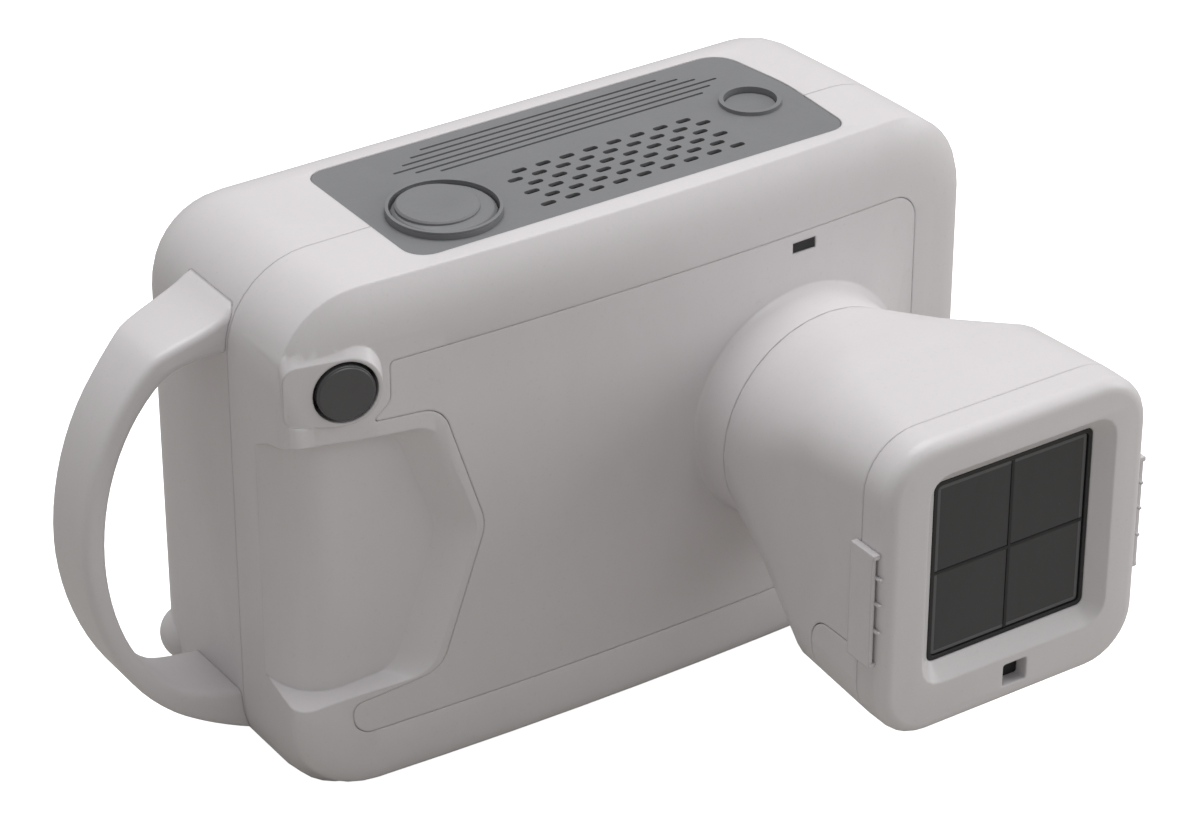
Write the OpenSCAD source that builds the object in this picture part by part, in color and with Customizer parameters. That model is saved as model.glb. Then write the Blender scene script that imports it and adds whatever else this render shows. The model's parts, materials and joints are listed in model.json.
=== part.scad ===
// Handheld intraoral x-ray unit: body, hand strap, control panel, beam head and the pieces they hold.
// Millimetres, +Z up. The origin is the middle of the body's flat underside. The beam leaves along -Y.

/* [Body] */
// Width of the body along X, without the strap.
body_w = 223.7; // [222:0.1:226]
// Height of the body, from its flat underside to its top face.
body_h = 160; // [158:1:163]
// How far the front face bulges forward at mid-width.
crown = 3.6; // [3:0.2:4]
// Radius of the body's corners seen from the front.
corner_r = 25; // [24:0.5:27]
// Radius of the edge all round the rear face.
rear_r = 19.4; // [18:0.2:20]
// Wall thickness of the two shells.
wall = 3; // [2.6:0.2:3]

/* [Hand strap] */
// Thickness of the strap at its middle.
strap_t = 6.7; // [5:0.1:7]
// Width of the strap.
strap_w = 20; // [18:0.5:20]
// How far the strap stands out from the body.
strap_out = 45; // [44:0.5:46]
// Height of the strap's bow.
strap_h = 128; // [126:0.5:129]

/* [Controls] */
// Radius of the trigger button.
trigger_r = 8.1; // [7.8:0.1:8.3]
// Radius of the turn knob.
dial_r = 14.3; // [13.8:0.1:14.3]
// Radial play of the power button in its ring.
power_play = 0.07; // [0.05:0.01:0.1]

/* [Beam head] */
// Width of the square head along X.
head_w = 87.4; // [86:0.2:90]
// Height of the square head.
head_h = 90.6; // [89:0.2:92]
// Radius of the round neck.
neck_r = 35; // [34.6:0.1:36]
// Width of the opening round the window.
window_w = 53.6; // [52:0.2:55]
// Height of the opening round the window.
window_h = 56; // [54:0.2:57]

/* [Hidden] */
fine = 64;
gap = 0.15;
front_y = -43;
rear_y = 43;
parting_y = -12.7;
edge_y = 4.6;
edge_top = 15.3;
edge_top_r = 27.8;
edge_left = 6;
edge_right = 9;
edge_bottom = 12;
edge_low = 5;
edge_low_y = -33;
edge_low_mid = 1.3;
right_draft = 6.2;
front_wall = 5.6;
panel_skin = 2.2;
top_wall = 5.8;
beam_x = 51.4;
beam_z = 83.3;
neck_z = 84.5;
neck_seam_y = -60;
seam = 0.05;
fillet_r = 5.5;
fillet_y = -49.1;
beam_hole_r = 31.6;
loft_y = -106;
bezel_y = -134.5;
head_y = -145.7;
head_wall = 2.6;
window_x = 52.5;
window_z = 85.4;
window_r = 2.2;
bevel_w = 4.8;
bevel_y = -141.3;
panel_t = 3;
panel_top = body_h - 0.2;
trigger_x = -94.7;
trigger_z = 133.4;
trigger_turn = 13;
boss_y = -45.1;
boss_back_y = -38;
boss_left = 17.2;
trigger_stem_r = 3;
dial_x = -45.9;
dial_y = -16.4;
shaft_r = 3;
ring_x = 61.3;
ring_y = -7.6;
ring_in_r = 7.6;
ring_out_r = 8.95;
collar_in_r = 15;
grip_r = 11.6;
grip_shift = 1.3;
dish_r = 60;
collar_out_r = 16;
groove_left = [-31.8, -36.7, -41, -45.5, -40.1, -33.8];
groove_right = [47.2, 52.7, 56.9, 62.3, 58.2, 53.8];
strap_z = 83;
strap_x = -112;
strap_slope = [1.02, 1.07];
strap_in_h = 111;
strap_bend = 60;
strap_end = 104;
strap_flare = 6.5;
flare_start = 45;
flare_turn = 50;
outer_top = [[-130, 142.1], [-112.4, 141.8], [-106.9, 149.5]];
outer_low = [[-129.5, 24.4], [-117.6, 16.6], [-104, 11.5]];
inner_top = [[-126, 135.6], [-115, 134.8], [-104, 134]];
inner_low = [[-124, 30], [-114, 27.6], [-103, 25.5]];
tongue_z = [20.5, 141];
tongue_front = -8;
tongue_back = 4;
sensor_x = 53.1;
sensor_z = 46.8;
sensor_w = 8.1;
sensor_h = 7;
rail_z = 81;
rail_h = 33;
rail_out = 2.2;
status_x = 53.2;
status_z = 133.3;
display_x = 5;
display_z = 84;
screw_y = -5;
screw_at = [[-86, 26], [-68, 134], [80, 26], [80, 134]];
head_screw_at = [[-31, -33], [31, -33], [-31, 33], [31, 33]];
shell_grey = [0.86, 0.85, 0.85];
panel_grey = [0.5, 0.5, 0.51];
dark = [0.16, 0.16, 0.17];
steel = [0.7, 0.71, 0.72];
board_green = [0.1, 0.32, 0.2];

// Rounded polygons ------------------------------------------------------------------------------
function unit(v) = v / norm(v);
function wrap(a) = a > 180 ? a - 360 : (a < -180 ? a + 360 : a);
function xy(p) = [p.x, p.y];
function arc(c, r, a0, a1, n) = [
    for (i = [0:n])
        let (a = a0 + (a1 - a0) * i / n) c + r * [cos(a), sin(a)]
];
function corner(a, b, c, r, n) =
    let (
        u = unit(a - b),
        v = unit(c - b),
        half = acos(u * v) / 2,
        m = b + unit(u + v) * r / sin(half),
        s = b + u * r / tan(half) - m,
        e = b + v * r / tan(half) - m,
        a0 = atan2(s.y, s.x)
    ) arc(m, r, a0, a0 + wrap(atan2(e.y, e.x) - a0), n);
// Points of a polygon given as [x, y, corner radius].
function rounded(p, n = 6) = [
    for (i = [0:len(p) - 1])
        let (k = len(p), q = p[i])
            each q.z > 0 ? corner(xy(p[(i + k - 1) % k]), xy(q), xy(p[(i + 1) % k]), q.z, n) : [xy(q)]
];
function box_2d(x0, x1, z0, z1, r, n = 6) =
    rounded([[x0, z0, r], [x1, z0, r], [x1, z1, r], [x0, z1, r]], n);

// Skins: a stack of closed rings, each the top line of a section and its bottom line backwards -----
function columns(xl, xr, zb, zt, r, n, m) = concat(
    [
        for (i = [0:n])
            let (a = 90 * i / n, k = r * (1 - sin(a))) [xl + r * (1 - cos(a)), zb + k, zt - k]
    ],
    m > 1 ? [for (i = [1:m - 1]) [xl + r + (xr - xl - 2 * r) * i / m, zb, zt]] : [],
    [
        for (i = [0:n])
            let (a = 90 * i / n, k = r * (1 - cos(a))) [xr - r + r * sin(a), zb + k, zt - k]
    ]
);
function bulge(x) = crown * max(0, 1 - pow(x / 102, 2));
function ring(c, y, k = 0) = concat(
    [for (p = c) [p.x, y - k * bulge(p.x), p.z]],
    [for (i = [len(c) - 1:-1:0]) [c[i].x, y - k * bulge(c[i].x), c[i].y]]
);

module skin(rings) {
    n = len(rings[0]);
    last = (len(rings) - 1) * n;
    half = n / 2 - 2;
    sides = [
        for (i = [0:len(rings) - 2])
            for (j = [0:n - 1])
                let (a = i * n + j, b = i * n + (j + 1) % n)
                    each [[a, a + n, b + n], [a, b + n, b]]
    ];
    front = [for (j = [0:half]) [j, j + 1, n - 2 - j, n - 1 - j]];
    back = [for (j = [0:half]) [last + n - 1 - j, last + n - 2 - j, last + j + 1, last + j]];
    polyhedron([for (r = rings) each r], concat(sides, front, back), convexity = 6);
}

// A flat shape in X and Z, extruded from y0 back to y1.
module along_y(y0, y1) {
    translate([0, y1, 0])
        rotate([90, 0, 0])
            linear_extrude(y1 - y0)
                children();
}

// A flat shape in Y and Z, extruded from x0 to x1.
module along_x(x0, x1) {
    translate([x0, 0, 0])
        rotate([90, 0, 90])
            linear_extrude(x1 - x0)
                children();
}

module rod_y(x, z, y0, y1, r) {
    translate([x, y1, z])
        rotate([90, 0, 0])
            cylinder(r = r, h = y1 - y0, $fn = fine);
}

module block(x0, x1, y0, y1, z0, z1) {
    translate([x0, y0, z0])
        cube([x1 - x0, y1 - y0, z1 - z0]);
}

// Body ------------------------------------------------------------------------------------------
function body_columns(y, left, right, bottom, top, r, n, m) = columns(
    -body_w / 2 + left, body_w / 2 - right_draft * pow((y - front_y) / 86, 2) - right,
    bottom, body_h - top, r, n, m
);
function body_front(g, gf, gt, n, m, steps) = [
    for (i = [0:steps])
        let (
            a = 90 * i / steps,
            dy = edge_y * (1 - cos(a)),
            k = 1 - sin(a),
            top = edge_top - edge_top_r * sin(acos(1 - dy / edge_top_r))
        ) ring(body_columns(
            front_y, g + edge_left * k, g + edge_right * k,
            g + edge_low + (edge_bottom - edge_low) * k, gt + top, corner_r - g - 4 * k, n, m
        ), front_y + gf + dy, 1)
];
function body_rear(g, gt, n, m, steps) = [
    for (i = [0:steps])
        let (
            a = 90 * i / steps,
            k = (rear_r - g / 2) * (1 - cos(a)),
            y = rear_y - g - (rear_r - g / 2) * (1 - sin(a))
        ) ring(body_columns(y, g + k, g + k, g + k, gt + k, corner_r - g - k, n, m), y)
];
function body_middle(g, gt, n, m) = [
    for (p = [[edge_low_y, edge_low_mid], [-26, 0], [0, 0]])
        ring(body_columns(p.x, g, g, g + p.y, gt, corner_r - g, n, m), p.x)
];

// The outer form of the body, moved inward by g at the sides, gf at the front and gt at the top.
module body_form(g = 0, gf = 0, gt = 0, n = 9, m = 8, steps = 6) {
    skin(concat(
        body_front(g, gf, gt, n, m, steps),
        body_middle(g, gt, n, m),
        body_rear(g, gt, n, m, steps + 1)
    ));
}

module cavity() {
    body_form(wall, front_wall, top_wall, 4, 6, 3);
}

// Finger scoop: outline at the front face and a narrower one further back, open to the left.
function scoop_outline(g, top_left, top, bottom, apex, low) = rounded([
    [-135, top_left + g, 0], [-135, bottom - g, 0], [apex - 14 + g, low - g, 9], [apex + g, 79, 13],
    [apex - 12 + g, top + g, 9]
], 8);

module scoop_space(g = 0) {
    hull() {
        scoop_lip(g);
        along_y(-26, -25.9)
            polygon(scoop_outline(g, 119, 110, 40, -83, 42));
    }
    // The lip flares out to the front.
    hull() {
        scoop_lip(g);
        along_y(-49, -48.9)
            polygon(scoop_outline(g, 127, 117.6, 32.6, -48.5, 34.2));
    }
}

module scoop_lip(g) {
    along_y(-44, -43.9)
        polygon(scoop_outline(g, 123.4, 113.9, 35.2, -57.6, 36.9));
}

// What stays behind the scoop: its floor wraps round the left edge of the body.
module scoop_floor(g = 0) {
    translate([0, 0, 15])
        linear_extrude(125)
            polygon(rounded([
                [-body_w / 2 - 0.6 + g, -10, 0], [-body_w / 2 - 0.6 + g, -38.2 + g, 17],
                [-40, -39.6 + g, 0], [-40, -10, 0]
            ], 10));
}

module scoop_cut(g = 0) {
    difference() {
        scoop_space(g);
        scoop_floor(g);
    }
}

// The trigger and its boss face slightly left: everything on the trigger's axis is drawn inside this.
module turned() {
    translate([trigger_x, boss_y, trigger_z])
        rotate([0, 0, -trigger_turn])
            translate([-trigger_x, -boss_y, -trigger_z])
                children();
}

// Outline of the boss round the trigger, grown by g, and by more along its top.
function boss_outline(g, top) = [
    for (p = rounded([
        [-boss_left, -7.4 - g, 4], [-3, -10 - g, 6], [10.2 + g, -10 - g, 10 + g],
        [10.2 + g, 9.9 + top, 9.6 + g], [-boss_left, 9.6 + top, 4]
    ], 8)) p + [trigger_x, trigger_z]
];

module trigger_boss() {
    turned() {
        hull() {
            along_y(boss_y, boss_y + 0.3)
                polygon(boss_outline(0, 0));
            along_y(boss_y + 2.8, boss_y + 3.1)
                polygon(boss_outline(0.8, 3.4));
        }
        along_y(boss_y + 1, boss_back_y)
            polygon(boss_outline(0, 0));
    }
}

// Takes the corner of the body off in front of the boss.
module trigger_recess() {
    turned()
        along_y(boss_y - 12, boss_y)
            polygon(boss_outline(0.1, 0.1));
}

// Outline of the top panel in X and Y.
function panel_outline(g) = rounded([
    [-66.5 - g, -35.2 - g, 7], [75.4 + g, -35.2 - g, 6], [76.5 + g, -4, 60], [72 + g, 23.2 + g, 9],
    [-66.5 - g, 23.2 + g, 6]
], 8);

// Outline of the flush front panel; it steps round the trigger recess and the scoop.
function cover_outline(g) = rounded([
    [-94.6 - g, 23.6 - g, 6], [93.5 + g, 23.6 - g, 7], [93.5 + g, 137.8 + g, 8],
    [-80.6 - g, 137.8 + g, 1.5], [-80.6 - g, 126 - g, 4], [-86.5 - g, 121.2 - g, 0.8],
    [-65.2 - g, 119.6 - g, 9], [-52.2 - g, 79, 13], [-67 - g, 36.6 - g, 9], [-94.6 - g, 33.6 + g, 3]
], 8);

module front_panel_space() {
    difference() {
        along_y(-60, -35)
            polygon(cover_outline(gap));
        body_form(-1, 2.5, -1, 5, 8, 2);
    }
}

module top_panel_space() {
    translate([0, 0, panel_top - panel_t])
        linear_extrude(20)
            polygon(panel_outline(gap));
}

// Openings through the top wall: sound, dial shaft and power button.
module top_openings() {
    block(-20, 46, -29, -5.5, body_h - 9, body_h - 2);
    translate([dial_x, dial_y, body_h - 9])
        cylinder(r = 5, h = 8, $fn = fine);
    translate([ring_x, ring_y, body_h - 9])
        cylinder(r = 9.6, h = 8, $fn = fine);
}

// Slots in which the strap's tongues are held.
module tongue_slots(g) {
    for (z = tongue_z)
        block(-body_w / 2 - 10, -body_w / 2 + 9, tongue_front - g, tongue_back + g,
            z - 1.5 - g, z + 1.5 + g);
}

module front_shell() {
    color(shell_grey)
        difference() {
            union() {
                difference() {
                    body_form();
                    difference() {
                        cavity();
                        scoop_cut(2.6);
                    }
                }
                for (p = screw_at)
                    rod_y(p.x, p.y, -41, parting_y, 4.2);
                trigger_boss();
            }
            block(-200, 200, parting_y - 0.04, 60, -5, body_h + 5);
            scoop_cut();
            trigger_recess();
            front_panel_space();
            top_panel_space();
            top_openings();
            turned() {
                rod_y(trigger_x, trigger_z, -60, -30, trigger_r + 1);
                rod_y(trigger_x, trigger_z, boss_back_y, -30, trigger_r + 2.2);
            }
            rod_y(beam_x, beam_z, -60, -30, beam_hole_r);
            block(status_x - 3, status_x + 3, -60, -30, status_z - 1.2, status_z + 1.2);
            for (p = screw_at)
                rod_y(p.x, p.y, -30, parting_y + 1, 1.55);
        }
}

module rear_shell() {
    color(shell_grey)
        difference() {
            union() {
                difference() {
                    body_form();
                    cavity();
                }
                for (p = screw_at)
                    rod_y(p.x, p.y, parting_y, rear_y - 1.5, 5.2);
                translate([-body_w / 2 + 6, 29.5, 22.5])
                    sphere(r = 8.3, $fn = fine);
            }
            block(-200, 200, -60, parting_y + 0.04, -5, body_h + 5);
            top_panel_space();
            top_openings();
            tongue_slots(gap);
            along_y(41.2, 60)
                polygon(box_2d(display_x - 46, display_x + 46, display_z - 30, display_z + 30, 4));
            along_y(30, 60)
                polygon(box_2d(display_x - 43, display_x + 43, display_z - 27, display_z + 27, 3));
            along_x(90, 130)
                polygon(box_2d(-4.4, 4.4, 27.6, 32.4, 2));
            for (p = screw_at) {
                rod_y(p.x, p.y, screw_y, 60, 3.6);
                rod_y(p.x, p.y, parting_y - 1, 0, 1.7);
            }
        }
}

// The flush front cover with the moulded base of the neck.
module front_panel() {
    color(shell_grey)
        difference() {
            union() {
                intersection() {
                    body_form();
                    along_y(-60, -35)
                        polygon(cover_outline(0));
                }
                translate([beam_x, neck_seam_y + seam, neck_z])
                    rotate([-90, 0, 0])
                        rotate_extrude($fn = fine)
                            polygon(concat(
                                [[30, 0], [neck_r, 0]],
                                arc([neck_r + fillet_r, fillet_y - neck_seam_y], fillet_r, 180, 90, 8),
                                [[30, fillet_y - neck_seam_y + fillet_r]]
                            ));
            }
            body_form(-1, panel_skin, -1, 5, 8, 2);
            rod_y(beam_x, beam_z, -70, -30, beam_hole_r);
            block(status_x - 4, status_x + 4, -60, -30, status_z - 1.7, status_z + 1.7);
        }
}

module slot_row(x0, x1, count, y) {
    for (i = [0:count - 1])
        translate([x0 + (x1 - x0) * i / (count - 1), y, panel_top - 5])
            linear_extrude(8)
                polygon(box_2d(-2.35, 2.35, -1, 1, 0.98, 4));
}

module top_panel() {
    color(panel_grey)
        difference() {
            union() {
                translate([0, 0, panel_top - panel_t])
                    linear_extrude(panel_t)
                        polygon(panel_outline(0));
                translate([ring_x, ring_y, panel_top - 1])
                    cylinder(r = ring_out_r, h = 2.2, $fn = fine);
            }
            for (i = [0:5])
                translate([0, 18.8 - 2.8 * i, panel_top - 0.7])
                    linear_extrude(3)
                        polygon(box_2d(groove_left[i], groove_right[i], -0.45, 0.45, 0.43, 3));
            for (i = [0:2:4])
                slot_row(-15.7, 38.9, 8, -6.8 - 4.12 * i);
            for (i = [1:2:5])
                slot_row(-19.6, 42.8, 9, -6.8 - 4.12 * i);
            block(-24, 47, -31, -3, panel_top - 4, panel_top - 1);
            translate([dial_x, dial_y, panel_top - 0.8])
                cylinder(r = collar_out_r + 0.02, h = 4, $fn = fine);
            translate([dial_x, dial_y, panel_top - 5])
                cylinder(r = shaft_r + 0.5, h = 8, $fn = fine);
            translate([ring_x, ring_y, panel_top - 5])
                cylinder(r = ring_in_r, h = 8, $fn = fine);
        }
}

// The dark wall round the knob and the trim ring on top of it.
module dial_collar() {
    color(dark)
        translate([dial_x, dial_y, panel_top - 0.78])
            difference() {
                cylinder(r = collar_out_r, h = 2.4, $fn = fine);
                translate([0, 0, -1])
                    cylinder(r = collar_in_r, h = 6, $fn = fine);
            }
}

module dial_trim() {
    color(panel_grey)
        translate([dial_x, dial_y, panel_top + 1.63])
            difference() {
                cylinder(r = collar_out_r, h = 0.6, $fn = fine);
                translate([0, 0, -1])
                    cylinder(r = collar_in_r, h = 3, $fn = fine);
            }
}

module dial_knob() {
    color(panel_grey)
        translate([dial_x, dial_y, panel_top])
            union() {
                rotate_extrude($fn = fine)
                    polygon([
                        [0, -0.5], [dial_r, -0.5], [dial_r, 0.8],
                        [dial_r - 0.8, 1.5], [dial_r - 3, 1.8], [0, 1.8]
                    ]);
                difference() {
                    translate([-grip_shift, grip_shift, 0])
                        rotate_extrude($fn = fine)
                            polygon([[0, 1], [grip_r, 1], [grip_r, 2.3], [grip_r - 0.6, 2.8], [0, 2.8]]);
                    translate([-2 * grip_shift, 2 * grip_shift, dish_r + 2.4])
                        sphere(r = dish_r, $fn = fine);
                }
                translate([0, 0, -16])
                    cylinder(r = shaft_r, h = 16.5, $fn = fine);
            }
}

module power_button() {
    color(panel_grey)
        translate([ring_x, ring_y, 0])
            union() {
                translate([0, 0, panel_top - 3.6])
                    cylinder(r = ring_in_r - power_play, h = 2.6, $fn = fine);
                translate([0, 0, panel_top - 1.2])
                    cylinder(r = ring_in_r - 0.3, h = 0.5, $fn = fine);
                translate([0, 0, panel_top - 4.4])
                    cylinder(r = 8.8, h = 1.2, $fn = fine);
                translate([0, 0, panel_top - 12])
                    cylinder(r = 2, h = 8, $fn = fine);
            }
}

module trigger_button() {
    color(dark)
        turned()
            union() {
                rod_y(trigger_x, trigger_z, boss_y - 0.6, -36.8, trigger_r);
                rod_y(trigger_x, trigger_z, boss_y - 1, boss_y, trigger_r - 0.5);
                rod_y(trigger_x, trigger_z, boss_back_y + 0.4, -36.6, trigger_r + 1.7);
                rod_y(trigger_x, trigger_z, -36.8, -24, trigger_stem_r);
            }
}

module status_lens() {
    color(dark)
        block(status_x - 3.85, status_x + 3.85, -45.2, -43.45, status_z - 1.55, status_z + 1.55);
}

// Hand strap ------------------------------------------------------------------------------------
// A bow in the X-Z plane: the section lies between an outer and an inner curve.
function bow(a, out, h, e) = [
    strap_x - out * sign(cos(a)) * pow(abs(cos(a)), e), strap_z + h / 2 * sign(sin(a)) * pow(abs(sin(a)), e)
];
function bend(p, q, t) =
    pow(1 - t, 3) * p + 3 * t * (1 - t) * ((1 - t) * q[0] + t * q[1]) + pow(t, 3) * q[2];
// Near its roots the strap leaves the bow and runs into the body's corners.
function strap_side(a, out, h, e, top, low) =
    abs(a) <= strap_bend ? bow(a, out, h, e)
    : bend(bow(sign(a) * strap_bend, out, h, e), a > 0 ? top : low, root_share(a));
function root_share(a) = max(0, (abs(a) - strap_bend) / (strap_end - strap_bend));
function smooth(t) = t * t * (3 - 2 * t);
function strap_section(y0, y1, t, r, n) =
    let (c = columns(-t / 2, t / 2, y0, y1, r, n, 1))
        concat([for (p = c) [p.x, p.z]], [for (i = [len(c) - 1:-1:0]) [c[i].x, c[i].y]]);
function strap_ring(a) =
    let (
        o = strap_side(a, strap_out, strap_h, strap_slope[a > 0 ? 0 : 1], outer_top, outer_low),
        i = strap_side(a, strap_out - strap_t, strap_in_h, 1, inner_top, inner_low),
        flare = strap_flare * smooth(max(0, min(1, (abs(a) - flare_start) / flare_turn))),
        u = unit(o - i),
        m = (o + i) / 2
    ) [
        for (q = strap_section(-strap_w / 2, strap_w / 2 + flare, norm(o - i), 2.2, 4))
            let (c = m + q.x * u) [c.x, (tongue_front + tongue_back) / 2 + q.y, c.y]
    ];

module hand_strap() {
    color(shell_grey)
        union() {
            difference() {
                skin([for (i = [0:44]) strap_ring(strap_end * (i / 22 - 1))]);
                body_form(-0.05, -0.05, -0.05);
            }
            difference() {
                tongue_slots(0);
                block(-200, -body_w / 2 - 1.5, -50, 50, -10, 200);
            }
        }
}

// Beam head -------------------------------------------------------------------------------------
function head_ring(y, hw, hh, r, zc, n = 8) =
    ring(columns(beam_x - hw, beam_x + hw, zc - hh, zc + hh, r, n, 1), y);
// A rectangle round the middle of the window, with its sides moved out by g.
module window_rect(g, r) {
    polygon(box_2d(window_x - window_w / 2 - g, window_x + window_w / 2 + g,
        window_z - window_h / 2 - g, window_z + window_h / 2 + g, r));
}

module head_form(g, y0, y1) {
    skin([
        head_ring(y1, head_w / 2 - g, head_h / 2 - g, 16 - g, beam_z),
        head_ring(loft_y, head_w / 2 - g, head_h / 2 - g, 20 - g, beam_z),
        head_ring(-83, 39 - g, 40 - g, 29 - g, beam_z + 0.5),
        head_ring(y0, neck_r - g, neck_r - g, neck_r - g - 0.1, neck_z)
    ]);
}

module head_space() {
    head_form(head_wall, neck_seam_y + 1, bezel_y - 1);
}

module cover_region(g) {
    along_x(-20, 130)
        polygon(rounded([
            [-140, 20, 0], [-114 + g, 20, 0], [-114 + g, 64.6 + g, 7 + g], [-140, 64.6 + g, 0]
        ], 6));
}

module hood_shell() {
    color(shell_grey)
        difference() {
            head_form(0, neck_seam_y - seam, bezel_y + 0.1);
            head_space();
            cover_region(gap);
        }
}

module lower_cover() {
    color(shell_grey)
        intersection() {
            difference() {
                head_form(0, neck_seam_y - seam, bezel_y + 0.1);
                head_space();
            }
            cover_region(-gap);
        }
}

module bezel() {
    color(shell_grey)
        difference() {
            union() {
                difference() {
                    skin([
                        for (i = [0:4])
                            let (a = 90 * i / 4, k = 3.8 * (1 - sin(a)), y = head_y + 3.8 * (1 - cos(a)))
                                head_ring(y, head_w / 2 - k, head_h / 2 - k, 16 - k, beam_z),
                        head_ring(bezel_y - 0.1, head_w / 2, head_h / 2, 16, beam_z)
                    ]);
                    skin([
                        head_ring(-139.6, head_w / 2 - head_wall, head_h / 2 - head_wall, 13.4, beam_z),
                        head_ring(bezel_y + 1, head_w / 2 - head_wall, head_h / 2 - head_wall, 13.4, beam_z)
                    ]);
                }
                for (p = head_screw_at)
                    rod_y(beam_x + p.x, beam_z + p.y, -140, -126, 3.6);
            }
            for (p = head_screw_at)
                rod_y(beam_x + p.x, beam_z + p.y, -139, -120, 1.3);
            along_y(-160, -130)
                window_rect(0, window_r);
            translate([window_x - beam_x, 0, 0])
                skin([
                    head_ring(head_y - 1, window_w / 2 + bevel_w + 1, window_h / 2 + bevel_w + 1, 8,
                        window_z, 4),
                    head_ring(bevel_y, window_w / 2 - 0.1, window_h / 2 - 0.1, window_r, window_z, 4)
                ]);
            along_y(-160, -130)
                polygon(box_2d(sensor_x - sensor_w / 2, sensor_x + sensor_w / 2, sensor_z - sensor_h / 2,
                    sensor_z + sensor_h / 2, 0.8));
        }
}

module window_gasket() {
    color(dark)
        along_y(bevel_y - 0.2, -138.4)
            difference() {
                window_rect(-0.1, window_r - 0.1);
                window_rect(-1.4, 1.3);
            }
}

module window_pane() {
    color([0.25, 0.26, 0.28, 0.6])
        along_y(-140.9, -138.6)
            window_rect(-1.5, 1.2);
}

module crosshair() {
    color(dark)
        union() {
            block(window_x - 0.45, window_x + 0.45, -141.1, -140.9,
                window_z - window_h / 2 + 1.6, window_z + window_h / 2 - 1.6);
            block(window_x - window_w / 2 + 1.6, window_x + window_w / 2 - 1.6, -141.1, -140.9,
                window_z - 1.1, window_z - 0.2);
        }
}

module sensor_lens() {
    color(dark)
        along_y(-141.7, -139.7)
            polygon(box_2d(sensor_x - sensor_w / 2 + gap, sensor_x + sensor_w / 2 - gap,
                sensor_z - sensor_h / 2 + gap, sensor_z + sensor_h / 2 - gap, 0.65));
}

// One accessory rail on the left side wall of the head: a plate over a slot that is open to the front.
module rail() {
    x = beam_x - head_w / 2 - 0.1;
    z0 = rail_z - rail_h / 2;
    z1 = rail_z + rail_h / 2;
    union() {
        block(x - rail_out, x, -134.4, -132.8, z0, z1);
        block(x - rail_out, x - 0.8, -142.2, -134, z0, z1);
        block(x - rail_out, x, -143, -132.8, z1 - 0.1, z1 + 1.2);
        block(x - rail_out, x, -142.4, -132.8, z0 - 0.9, z0 + 0.1);
        for (z = [74.9, 83.4, 91.4])
            block(x - 1, x, -144.2, -140.8, z - 0.35, z + 0.35);
    }
}

module left_rail() {
    color(shell_grey)
        rail();
}

module right_rail() {
    color(shell_grey)
        translate([2 * beam_x, 0, 0])
            mirror([1, 0, 0])
                rail();
}

// Inner pieces ----------------------------------------------------------------------------------
module chassis_plate() {
    color(steel)
        difference() {
            union() {
                block(-82, 89, -30, 21, 5, 7);
                block(15.4, 17.4, -25, 20, 6, 60);
                block(85.4, 87.4, -25, 20, 6, 60);
                block(16, 87, -25, 20, 38.8, 40.8);
            }
            for (x = [-70, 70])
                translate([x, 0, 0])
                    cylinder(r = 2.2, h = 12, $fn = fine);
            translate([beam_x, 0, 30])
                cylinder(r = 12, h = 20, $fn = fine);
        }
}

module xray_tank() {
    color(steel)
        difference() {
            translate([0, 0, 41])
                linear_extrude(84.6)
                    polygon(box_2d(beam_x - 33, beam_x + 33, -31, 27, 6));
            translate([0, 0, 44])
                linear_extrude(78.6)
                    polygon(box_2d(beam_x - 30, beam_x + 30, -28, 24, 4));
            rod_y(beam_x, beam_z, -40, -20, 14);
        }
}

module tube_insert() {
    color([0.8, 0.85, 0.85, 0.5])
        translate([beam_x, -2, 48.3])
            difference() {
                cylinder(r = 15, h = 70, $fn = fine);
                translate([0, 0, 2])
                    cylinder(r = 13.2, h = 66, $fn = fine);
            }
}

module tube_anode() {
    color([0.72, 0.45, 0.3])
        translate([beam_x, -2, 50.4])
            difference() {
                cylinder(r = 7, h = 34, $fn = fine);
                translate([0, -9, 36])
                    rotate([20, 0, 0])
                        cube([30, 40, 8], center = true);
            }
}

module beam_port() {
    color(steel)
        difference() {
            rod_y(beam_x, beam_z, -55, -31.1, beam_hole_r - 0.5);
            rod_y(beam_x, beam_z, -60, -30, 20);
            rod_y(beam_x, beam_z, -60, -52.4, 24.1);
        }
}

module filter_plate() {
    color([0.8, 0.81, 0.82])
        rod_y(beam_x, beam_z, -54.5, -52.5, 24);
}

module mirror_plate() {
    color([0.9, 0.92, 0.95])
        translate([beam_x, -110, beam_z])
            rotate([45, 0, 0])
                translate([-21, -26, 1.6])
                    cube([42, 52, 1.1]);
}

module mirror_frame() {
    color(dark)
        union() {
            translate([beam_x, -110, beam_z])
                rotate([45, 0, 0])
                    difference() {
                        translate([-26, -29, -1.4])
                            cube([52, 58, 3]);
                        translate([-19, -24, -5])
                            cube([38, 48, 10]);
                    }
            block(10.5, 26.2, -112, -108, beam_z - 5, beam_z + 3);
            block(76.6, 92.3, -112, -108, beam_z - 5, beam_z + 3);
        }
}

module lamp_module() {
    color(dark)
        union() {
            block(beam_x - 9, beam_x + 9, -119, -107, 115, 125.6);
            translate([beam_x, -113, 111])
                cylinder(r = 5, h = 6, $fn = fine);
        }
}

module battery_pack() {
    color([0.16, 0.2, 0.3])
        translate([0, 0, 8])
            linear_extrude(104)
                polygon(box_2d(-79, -35, -8, 28, 4));
}

module control_board() {
    color(board_green)
        union() {
            block(-32, 64, 31.4, 33, 42, 126);
            block(-20, 0, 29.4, 31.6, 100, 118);
            block(-26, -12, 28.6, 31.6, 52, 64);
        }
}

module power_board() {
    color(board_green)
        union() {
            block(-24, -22.4, -24, 24, 9, 112);
            block(-22.6, -4, -20, 4, 20, 46);
            for (z = [62, 84])
                translate([-22.6, -8, z])
                    rotate([0, 90, 0])
                        cylinder(r = 8, h = 20, $fn = fine);
        }
}

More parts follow.
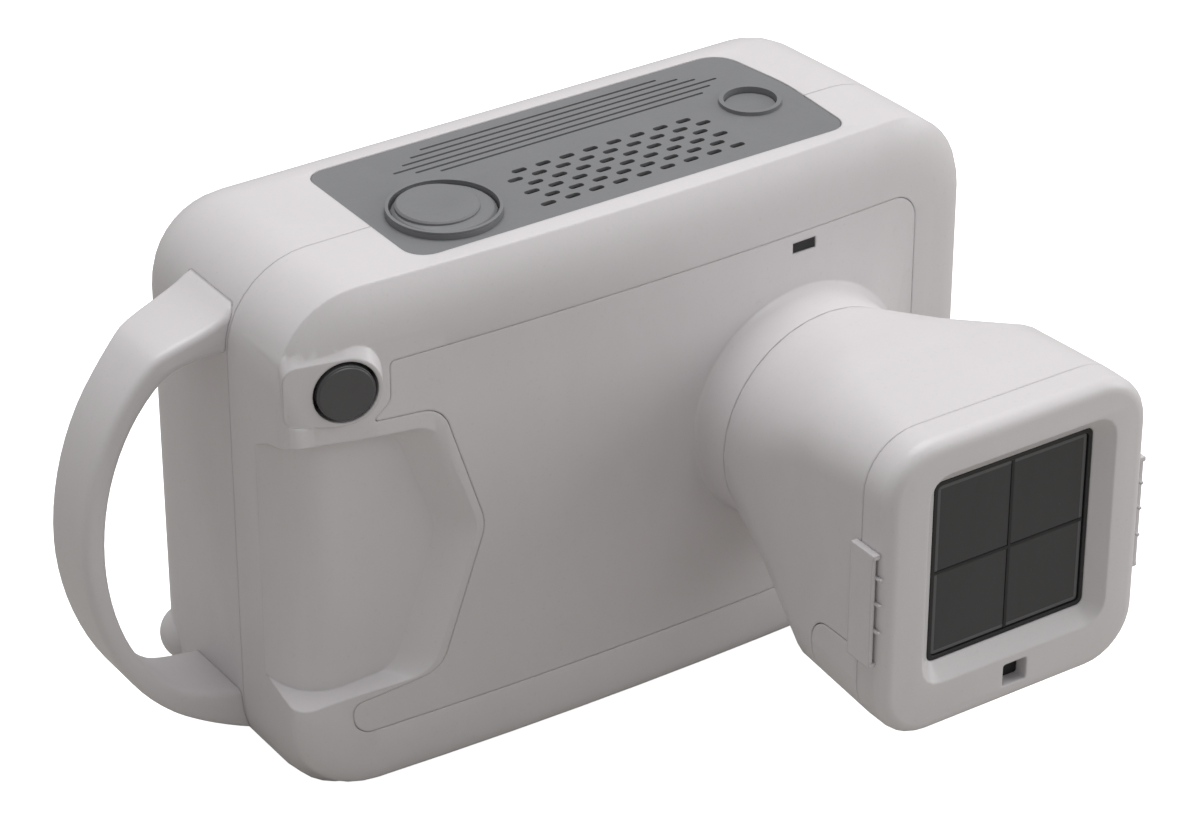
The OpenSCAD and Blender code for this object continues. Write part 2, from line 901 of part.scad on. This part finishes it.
module display_module() {
    color(dark)
        block(display_x - 48, display_x + 48, 34.8, 39.7, display_z - 31, display_z + 31);
}

module display_glass() {
    color(dark)
        along_y(41.25, 42.9)
            polygon(box_2d(display_x - 45.8, display_x + 45.8, display_z - 29.8, display_z + 29.8, 3.8));
}

module speaker() {
    color(dark)
        translate([13, -16, 146])
            union() {
                cylinder(r = 11, h = 6, $fn = fine);
                translate([0, 0, 5.5])
                    cylinder(r = 13.5, h = 2.4, $fn = fine);
            }
}

module vent_mesh() {
    color(dark)
        block(-19.8, 45.8, -28.8, -5.7, panel_top - 5.1, panel_top - 4.5);
}

module dial_encoder() {
    color(steel)
        difference() {
            union() {
                translate([dial_x - 7, dial_y - 7, panel_top - 22])
                    cube([14, 14, 8]);
                translate([dial_x, dial_y, panel_top - 14.5])
                    cylinder(r = 4.5, h = 7.6, $fn = fine);
            }
            translate([dial_x, dial_y, panel_top - 16.4])
                cylinder(r = shaft_r + 0.05, h = 20, $fn = fine);
        }
}

module power_switch() {
    color(dark)
        difference() {
            translate([ring_x - 6, ring_y - 6, panel_top - 18])
                cube([12, 12, 9]);
            translate([ring_x, ring_y, panel_top - 14])
                cylinder(r = 2.06, h = 10, $fn = fine);
        }
}

module trigger_spring() {
    color(steel)
        turned()
            union() {
                for (y = [-36, -34.8, -33.6])
                    translate([trigger_x, y, trigger_z])
                        rotate([90, 0, 0])
                            rotate_extrude($fn = fine)
                                translate([5, 0])
                                    circle(r = 0.5, $fn = 16);
                rod_y(trigger_x, trigger_z + 5, -36, -33.6, 0.4);
            }
}

module trigger_switch() {
    color(dark)
        turned()
            difference() {
                block(trigger_x - 9, trigger_x + 9, -33.4, -18, trigger_z - 9, trigger_z + 9);
                rod_y(trigger_x, trigger_z, -40, -29.8, 6.4);
                rod_y(trigger_x, trigger_z, -40, -21, trigger_stem_r + 0.05);
            }
}

module status_board() {
    color(board_green)
        union() {
            block(42, 66, -36, -34.4, 126, 142);
            block(status_x - 2, status_x + 2, -38, -35.8, status_z - 1, status_z + 1);
        }
}

module shell_screws() {
    color(steel)
        for (p = screw_at)
            difference() {
                union() {
                    rod_y(p.x, p.y, screw_y + 0.05, screw_y + 2.6, 3.2);
                    rod_y(p.x, p.y, -29, screw_y + 1, 1.5);
                }
                rod_y(p.x, p.y, screw_y + 1.2, screw_y + 5, 1.2);
            }
}

module head_screws() {
    color(steel)
        for (p = head_screw_at)
            difference() {
                union() {
                    rod_y(beam_x + p.x, beam_z + p.y, -125.9, -123.8, 2.6);
                    rod_y(beam_x + p.x, beam_z + p.y, -138, -125, 1.25);
                }
                rod_y(beam_x + p.x, beam_z + p.y, -125, -120, 1);
            }
}

module charge_port() {
    color(dark)
        difference() {
            along_x(98, 108.4)
                polygon(box_2d(-4.2, 4.2, 27.8, 32.2, 1.8));
            along_x(100, 120)
                polygon(box_2d(-3.4, 3.4, 28.6, 31.4, 1.3));
        }
}

rear_shell();
hand_strap();
front_shell();
front_panel();
top_panel();
dial_collar();
dial_trim();
dial_knob();
power_button();
trigger_button();
status_lens();
hood_shell();
lower_cover();
bezel();
window_gasket();
window_pane();
crosshair();
left_rail();
right_rail();
sensor_lens();
chassis_plate();
xray_tank();
tube_insert();
tube_anode();
beam_port();
filter_plate();
mirror_plate();
mirror_frame();
lamp_module();
battery_pack();
control_board();
power_board();
display_module();
display_glass();
speaker();
vent_mesh();
dial_encoder();
power_switch();
trigger_spring();
trigger_switch();
status_board();
shell_screws();
head_screws();
charge_port();
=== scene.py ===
import json
import math

import bmesh
import bpy
from mathutils import Matrix, Vector

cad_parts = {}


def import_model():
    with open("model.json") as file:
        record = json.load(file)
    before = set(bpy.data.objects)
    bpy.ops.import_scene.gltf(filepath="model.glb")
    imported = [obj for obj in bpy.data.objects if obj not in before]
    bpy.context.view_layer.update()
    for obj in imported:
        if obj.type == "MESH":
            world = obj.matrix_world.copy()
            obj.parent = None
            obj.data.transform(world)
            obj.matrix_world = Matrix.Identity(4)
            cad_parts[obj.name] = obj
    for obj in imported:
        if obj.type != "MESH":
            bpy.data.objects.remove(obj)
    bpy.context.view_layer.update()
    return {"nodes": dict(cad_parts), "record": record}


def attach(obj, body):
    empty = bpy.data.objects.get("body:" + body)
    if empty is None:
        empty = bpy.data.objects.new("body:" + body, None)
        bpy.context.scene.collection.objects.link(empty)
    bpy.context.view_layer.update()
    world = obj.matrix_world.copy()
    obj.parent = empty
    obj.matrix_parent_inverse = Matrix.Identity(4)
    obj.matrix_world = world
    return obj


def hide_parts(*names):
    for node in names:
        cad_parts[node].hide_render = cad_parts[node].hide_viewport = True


MM = 0.001
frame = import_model()
NODES = frame["nodes"]
for imported in list(bpy.data.materials):
    bpy.data.materials.remove(imported)


# ---------------------------------------------------------------- materials
SHEEN_SPREAD = 0.06
BEVEL_SAMPLES = 6
COAT_ROUGHNESS = 0.18
WELD = 0.002 * MM


class Tree:
    """A small helper that adds and links shader nodes."""

    def __init__(self, name):
        self.material = bpy.data.materials.new(name)
        self.material.use_nodes = True
        self.nodes = self.material.node_tree.nodes
        self.links = self.material.node_tree.links
        self.nodes.clear()
        self.shader = self.nodes.new("ShaderNodeBsdfPrincipled")
        self.output = self.nodes.new("ShaderNodeOutputMaterial")
        self.links.new(self.shader.outputs["BSDF"], self.output.inputs["Surface"])
        self.coords = self.nodes.new("ShaderNodeTexCoord").outputs["Object"]

    def noise(self, scale, detail=3.0, rough=0.55, coords=None, distortion=0.0):
        n = self.nodes.new("ShaderNodeTexNoise")
        n.inputs["Scale"].default_value = scale
        n.inputs["Detail"].default_value = detail
        n.inputs["Roughness"].default_value = rough
        n.inputs["Distortion"].default_value = distortion
        self.links.new(coords or self.coords, n.inputs["Vector"])
        return n.outputs["Fac"]

    def stretch(self, x, y, z):
        m = self.nodes.new("ShaderNodeMapping")
        m.inputs["Scale"].default_value = (x, y, z)
        self.links.new(self.coords, m.inputs["Vector"])
        return m.outputs["Vector"]

    def ramp(self, value, low, high, a, b):
        """Maps value from low..high to a..b."""
        n = self.nodes.new("ShaderNodeMapRange")
        n.inputs["From Min"].default_value = low
        n.inputs["From Max"].default_value = high
        n.inputs["To Min"].default_value = a
        n.inputs["To Max"].default_value = b
        self.links.new(value, n.inputs["Value"])
        return n.outputs["Result"]

    def mix(self, factor, a, b):
        n = self.nodes.new("ShaderNodeMix")
        n.data_type = "RGBA"
        self.links.new(factor, n.inputs["Factor"])
        for socket, value in ((n.inputs[6], a), (n.inputs[7], b)):
            if isinstance(value, tuple):
                socket.default_value = (*value, 1.0)
            else:
                self.links.new(value, socket)
        return n.outputs[2]

    def math(self, kind, a, b):
        n = self.nodes.new("ShaderNodeMath")
        n.operation = kind
        for socket, value in ((n.inputs[0], a), (n.inputs[1], b)):
            if isinstance(value, (int, float)):
                socket.default_value = value
            else:
                self.links.new(value, socket)
        return n.outputs[0]

    def outside(self, rect):
        """1 outside a rectangle in X and Z given as middle x, middle z, half width, half height in mm."""
        split = self.nodes.new("ShaderNodeSeparateXYZ")
        self.links.new(self.coords, split.inputs[0])
        over = []
        for axis, middle, half in (("X", rect[0], rect[2]), ("Z", rect[1], rect[3])):
            away = self.math("ABSOLUTE", self.math("SUBTRACT", split.outputs[axis], middle * MM), 0.0)
            over.append(self.math("SUBTRACT", away, half * MM))
        return self.ramp(self.math("MAXIMUM", over[0], over[1]), -0.1 * MM, 0.1 * MM, 0.0, 1.0)

    def bump(self, height, strength, distance, below=None):
        n = self.nodes.new("ShaderNodeBump")
        n.inputs["Strength"].default_value = strength
        n.inputs["Distance"].default_value = distance
        self.links.new(height, n.inputs["Height"])
        if below is not None:
            self.links.new(below, n.inputs["Normal"])
        return n.outputs["Normal"]

    def soft_edges(self, radius):
        """The normal, rounded over sharp edges as a moulded part's are."""
        n = self.nodes.new("ShaderNodeBevel")
        n.samples = BEVEL_SAMPLES
        n.inputs["Radius"].default_value = radius * MM
        return n.outputs["Normal"]

    def to(self, output, name):
        self.links.new(output, self.shader.inputs[name])

    def put(self, **values):
        for name, value in values.items():
            self.shader.inputs[name.replace("_", " ")].default_value = value


def moulded(name, base, dirt, rough, grain=1500.0, grain_depth=0.02, coat=0.0, edge=0.0):
    """Moulded plastic: fine spark-eroded grain, faint flow marks, handling wear in the sheen."""
    t = Tree(name)
    cloud = t.noise(14.0, 5.0, 0.6)
    smear = t.noise(55.0, 4.0, 0.65, t.stretch(1.0, 1.0, 0.35), 0.6)
    speck = t.noise(900.0, 2.0, 0.5)
    shade = t.math("ADD", t.math("MULTIPLY", cloud, 0.6), t.math("MULTIPLY", smear, 0.4))
    colour = t.mix(t.ramp(shade, 0.3, 0.72, 0.0, 1.0), base, dirt)
    colour = t.mix(t.ramp(speck, 0.62, 0.8, 0.0, 0.35), colour, tuple(c * 0.86 for c in dirt))
    t.to(colour, "Base Color")
    t.to(t.ramp(t.math("ADD", t.math("MULTIPLY", smear, 0.7), t.math("MULTIPLY", speck, 0.3)),
                0.3, 0.7, rough - SHEEN_SPREAD, rough + SHEEN_SPREAD), "Roughness")
    soft = t.bump(cloud, 0.25, 0.00012, t.soft_edges(edge) if edge else None)
    t.to(t.bump(t.noise(grain, 3.0, 0.6), 1.0, grain_depth * MM, soft), "Normal")
    t.put(IOR=1.47)
    if coat:
        t.put(Coat_Weight=coat, Coat_Roughness=COAT_ROUGHNESS)
    return t.material


def metal(name, base, dirt, rough, direction=(1.0, 1.0, 40.0), spread=0.12):
    """Sheet or turned metal: directional brushing, dull patches, tiny scratches."""
    t = Tree(name)
    brush = t.noise(60.0, 6.0, 0.7, t.stretch(*direction))
    patch = t.noise(35.0, 4.0, 0.6, distortion=0.8)
    t.to(t.mix(t.ramp(patch, 0.35, 0.7, 0.0, 1.0), base, dirt), "Base Color")
    t.to(t.ramp(t.math("ADD", t.math("MULTIPLY", brush, 0.6), t.math("MULTIPLY", patch, 0.4)),
                0.3, 0.7, rough - spread, rough + spread), "Roughness")
    t.to(t.bump(brush, 0.5, 0.00003), "Normal")
    t.put(Metallic=1.0)
    return t.material


def glazing(name, tint, rough, transmission, smudge=0.05, painted_bevel_highlight=None):
    """Window glass: smoked or clear, with faint wipe marks and dust, and if asked a lighter band outside a
    given rectangle, a painted highlight standing in for the light caught by the pane's bevelled edge.
    """
    t = Tree(name)
    wipe = t.noise(40.0, 5.0, 0.6, t.stretch(1.0, 1.0, 0.3), 1.2)
    dust = t.noise(1600.0, 2.0, 0.5)
    film = t.mix(t.ramp(wipe, 0.3, 0.75, 0.0, 1.0), tint, tuple(min(1.0, c * 1.25) for c in tint))
    colour = t.mix(t.ramp(dust, 0.72, 0.86, 0.0, 0.3), film, tuple(min(1.0, c + 0.12) for c in tint))
    if painted_bevel_highlight:
        # Painted highlight: the glass outside the rectangle turns a lighter grey, standing in for light on
        # the pane's bevelled edge.
        colour = t.mix(t.outside(painted_bevel_highlight), colour, t.mix(wipe, (0.075, 0.076, 0.08), (0.11, 0.111, 0.116)))
    t.to(colour, "Base Color")
    t.to(t.ramp(wipe, 0.35, 0.7, rough, rough + smudge), "Roughness")
    t.to(t.bump(wipe, 0.15, 0.00005), "Normal")
    t.put(IOR=1.5, Transmission_Weight=transmission)
    return t.material


def board(name):
    """Circuit board: solder mask with traces and pads."""
    t = Tree(name)
    brick = t.nodes.new("ShaderNodeTexBrick")
    brick.inputs["Scale"].default_value = 190.0
    brick.inputs["Mortar Size"].default_value = 0.03
    t.links.new(t.coords, brick.inputs["Vector"])
    cells = brick.outputs["Fac"]
    blotch = t.noise(120.0, 3.0)
    mask = t.mix(t.ramp(blotch, 0.35, 0.7, 0.0, 1.0), (0.03, 0.16, 0.07), (0.045, 0.21, 0.1))
    t.to(t.mix(t.ramp(cells, 0.2, 0.8, 0.0, 1.0), mask, (0.12, 0.32, 0.16)), "Base Color")
    t.to(t.ramp(blotch, 0.3, 0.7, 0.25, 0.45), "Roughness")
    t.to(t.bump(cells, 0.4, 0.00004), "Normal")
    return t.material


SHELL = moulded("shell_plastic", (0.735, 0.71, 0.722), (0.69, 0.668, 0.676), 0.42, coat=0.12, edge=0.9)
PANEL = moulded("panel_plastic", (0.225, 0.228, 0.236), (0.195, 0.198, 0.205), 0.46, 2600.0, 0.03)
TRIGGER = moulded("trigger_plastic", (0.098, 0.098, 0.101), (0.08, 0.08, 0.082), 0.4, 1800.0, 0.02)
BLACK = moulded("black_plastic", (0.014, 0.014, 0.015), (0.008, 0.008, 0.009), 0.5)
WRAP = moulded("battery_wrap", (0.05, 0.085, 0.2), (0.035, 0.06, 0.15), 0.35, 300.0, 0.05)
LEAD = metal("lead_lining", (0.3, 0.31, 0.33), (0.22, 0.23, 0.25), 0.55)
STEEL = metal("sheet_steel", (0.6, 0.61, 0.62), (0.5, 0.5, 0.5), 0.36)
ALUMINIUM = metal("filter_aluminium", (0.82, 0.83, 0.84), (0.7, 0.71, 0.72), 0.3)
COPPER = metal("anode_copper", (0.8, 0.42, 0.26), (0.6, 0.3, 0.18), 0.32)
SCREW = metal("fastener_steel", (0.66, 0.66, 0.64), (0.5, 0.5, 0.47), 0.3)
MIRROR = metal("mirror_coat", (0.93, 0.94, 0.95), (0.88, 0.89, 0.9), 0.06, spread=0.03)
# Middle x, middle z, half width and half height of the clear part of the window, in mm; outside it the
# pane carries a painted highlight standing in for light on its bevelled edge.
PANE_CLEAR = (52.5, 85.4, 24.1, 25.3)
SMOKED = glazing("smoked_glass", (0.03, 0.0305, 0.033), 0.12, 0.0, painted_bevel_highlight=PANE_CLEAR)
CLEAR = glazing("tube_glass", (0.85, 0.9, 0.9), 0.04, 0.9)
BOARD = board("circuit_board")
MATERIALS = {m.name: m for m in (
    SHELL, PANEL, TRIGGER, BLACK, WRAP, LEAD, STEEL, ALUMINIUM, COPPER, SCREW, MIRROR, SMOKED, CLEAR, BOARD
)}
SLOT = {s["node"]: s["material_slot"] for s in frame["record"]["subparts"]}
BODY = {n: b for b, ns in frame["record"]["behaviour"]["bodies"].items() for n in ns}


def dress(obj, material):
    obj.data.materials.clear()
    obj.data.materials.append(material)


for node_name, node_obj in NODES.items():
    dress(node_obj, MATERIALS[SLOT[node_name]])


def refine(node, width, segments=3, limit=32.0, dissolve=0.6):
    """A copy of a CAD node with rounded edges stands in for it."""
    source = NODES[node]
    bm = bmesh.new()
    bm.from_mesh(source.data)
    bmesh.ops.remove_doubles(bm, verts=bm.verts, dist=WELD)
    bmesh.ops.dissolve_limit(bm, angle_limit=math.radians(dissolve), verts=bm.verts, edges=bm.edges)
    mesh = bpy.data.meshes.new(node + "_look")
    bm.to_mesh(mesh)
    bm.free()
    mesh.shade_smooth()
    mesh.set_sharp_from_angle(angle=math.radians(limit))
    obj = bpy.data.objects.new(node + "_look", mesh)
    bpy.context.scene.collection.objects.link(obj)
    dress(obj, MATERIALS[SLOT[node]])
    if width:
        bevel = obj.modifiers.new("edges", "BEVEL")
        bevel.width = width * MM
        bevel.segments = segments
        bevel.limit_method = "ANGLE"
        bevel.angle_limit = math.radians(limit)
        bevel.use_clamp_overlap = True
        bevel.harden_normals = False
    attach(obj, BODY[node])
    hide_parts(node)
    return obj


# Radius in mm to which each piece's edges are rounded.
EDGE_WIDTHS = {
    "rear_shell": 0.3, "hand_strap": 0.3, "front_shell": 0.3, "front_panel": 0.3, "top_panel": 0.25,
    "dial_collar": 0.15, "dial_trim": 0.12, "dial_knob": 0.4, "power_button": 0.3, "trigger_button": 0.5,
    "hood_shell": 0.3, "lower_cover": 0.3, "bezel": 0.4, "left_rail": 0.2, "right_rail": 0.2,
    "window_gasket": 0.2, "window_pane": 0.2, "sensor_lens": 0.2,
}
for name, width in EDGE_WIDTHS.items():
    refine(name, width)


# ---------------------------------------------------------------- stage, light, camera
FLOOR_BOUNCE = (0.49, 0.475, 0.445)
FLOOR_GLOW = 0.92
FLOOR_SIZE = 8.0
FLOOR_DROP = 0.0005
AMBIENT = 0.37
# Azimuth, elevation and roll in degrees.
CAMERA_ANGLES = (-33.9, 30.3, 0.06)
CAMERA_PLACE = (-0.5792, -0.8851, 0.6928)
SENSOR_WIDTH = 36.0
LENS = 128.4


def studio():
    """A white sweep: bright to the camera, duller as a bounce, so the object's lower sides stay shaded."""
    bpy.ops.mesh.primitive_plane_add(size=FLOOR_SIZE, location=(0.0, 0.0, -FLOOR_DROP))
    floor = bpy.context.object
    floor.name = "studio_floor"
    t = Tree("studio_floor")
    seen = t.nodes.new("ShaderNodeLightPath").outputs["Is Camera Ray"]
    bright = t.mix(t.noise(3.0), (0.9, 0.9, 0.9), (0.94, 0.94, 0.94))
    t.to(t.mix(seen, FLOOR_BOUNCE, bright), "Base Color")
    t.to(t.math("MULTIPLY", seen, FLOOR_GLOW), "Emission Strength")
    t.put(Roughness=0.9, Specular_IOR_Level=0.1, Emission_Color=(1.0, 1.0, 1.0, 1.0))
    dress(floor, t.material)


def area(name, place, target, size, power):
    light = bpy.data.lights.new(name, "AREA")
    light.shape = "RECTANGLE"
    light.size = size
    light.size_y = size
    light.energy = power
    obj = bpy.data.objects.new(name, light)
    obj.location = place
    obj.rotation_euler = (Vector(target) - Vector(place)).to_track_quat("-Z", "Y").to_euler()
    bpy.context.scene.collection.objects.link(obj)


def world():
    w = bpy.data.worlds.new("studio")
    bpy.context.scene.world = w
    w.use_nodes = True
    nodes, links = w.node_tree.nodes, w.node_tree.links
    nodes.clear()
    ambient = nodes.new("ShaderNodeBackground")
    ambient.inputs["Color"].default_value = (1.0, 0.985, 0.99, 1.0)
    ambient.inputs["Strength"].default_value = AMBIENT
    seen = nodes.new("ShaderNodeBackground")
    seen.inputs["Color"].default_value = (1.0, 1.0, 1.0, 1.0)
    seen.inputs["Strength"].default_value = 1.0
    path = nodes.new("ShaderNodeLightPath")
    mix = nodes.new("ShaderNodeMixShader")
    out = nodes.new("ShaderNodeOutputWorld")
    links.new(path.outputs["Is Camera Ray"], mix.inputs[0])
    links.new(ambient.outputs[0], mix.inputs[1])
    links.new(seen.outputs[0], mix.inputs[2])
    links.new(mix.outputs[0], out.inputs["Surface"])


def camera():
    azimuth, elevation, roll = (math.radians(a) for a in CAMERA_ANGLES)
    level = math.cos(elevation)
    back = Vector((math.sin(azimuth) * level, -math.cos(azimuth) * level, math.sin(elevation)))
    right = (-back).cross(Vector((0.0, 0.0, 1.0))).normalized()
    up = back.cross(right)
    turn = Matrix((right, up, back)).transposed().to_4x4() @ Matrix.Rotation(roll, 4, "Z")
    data = bpy.data.cameras.new("camera")
    data.sensor_width = SENSOR_WIDTH
    data.lens = LENS
    data.clip_start = 0.05
    data.clip_end = 20.0
    obj = bpy.data.objects.new("camera", data)
    obj.matrix_world = Matrix.Translation(Vector(CAMERA_PLACE)) @ turn
    bpy.context.scene.collection.objects.link(obj)
    bpy.context.scene.camera = obj


studio()
world()
area("top_softbox", (0.15, 0.1, 1.6), (0.0, -0.05, 0.1), 1.1, 16.3)
area("right_softbox", (1.3, -0.7, 0.6), (0.1, -0.05, 0.08), 0.8, 6.5)
camera()

scene = bpy.context.scene
scene.view_settings.view_transform = "Standard"
scene.view_settings.look = "None"
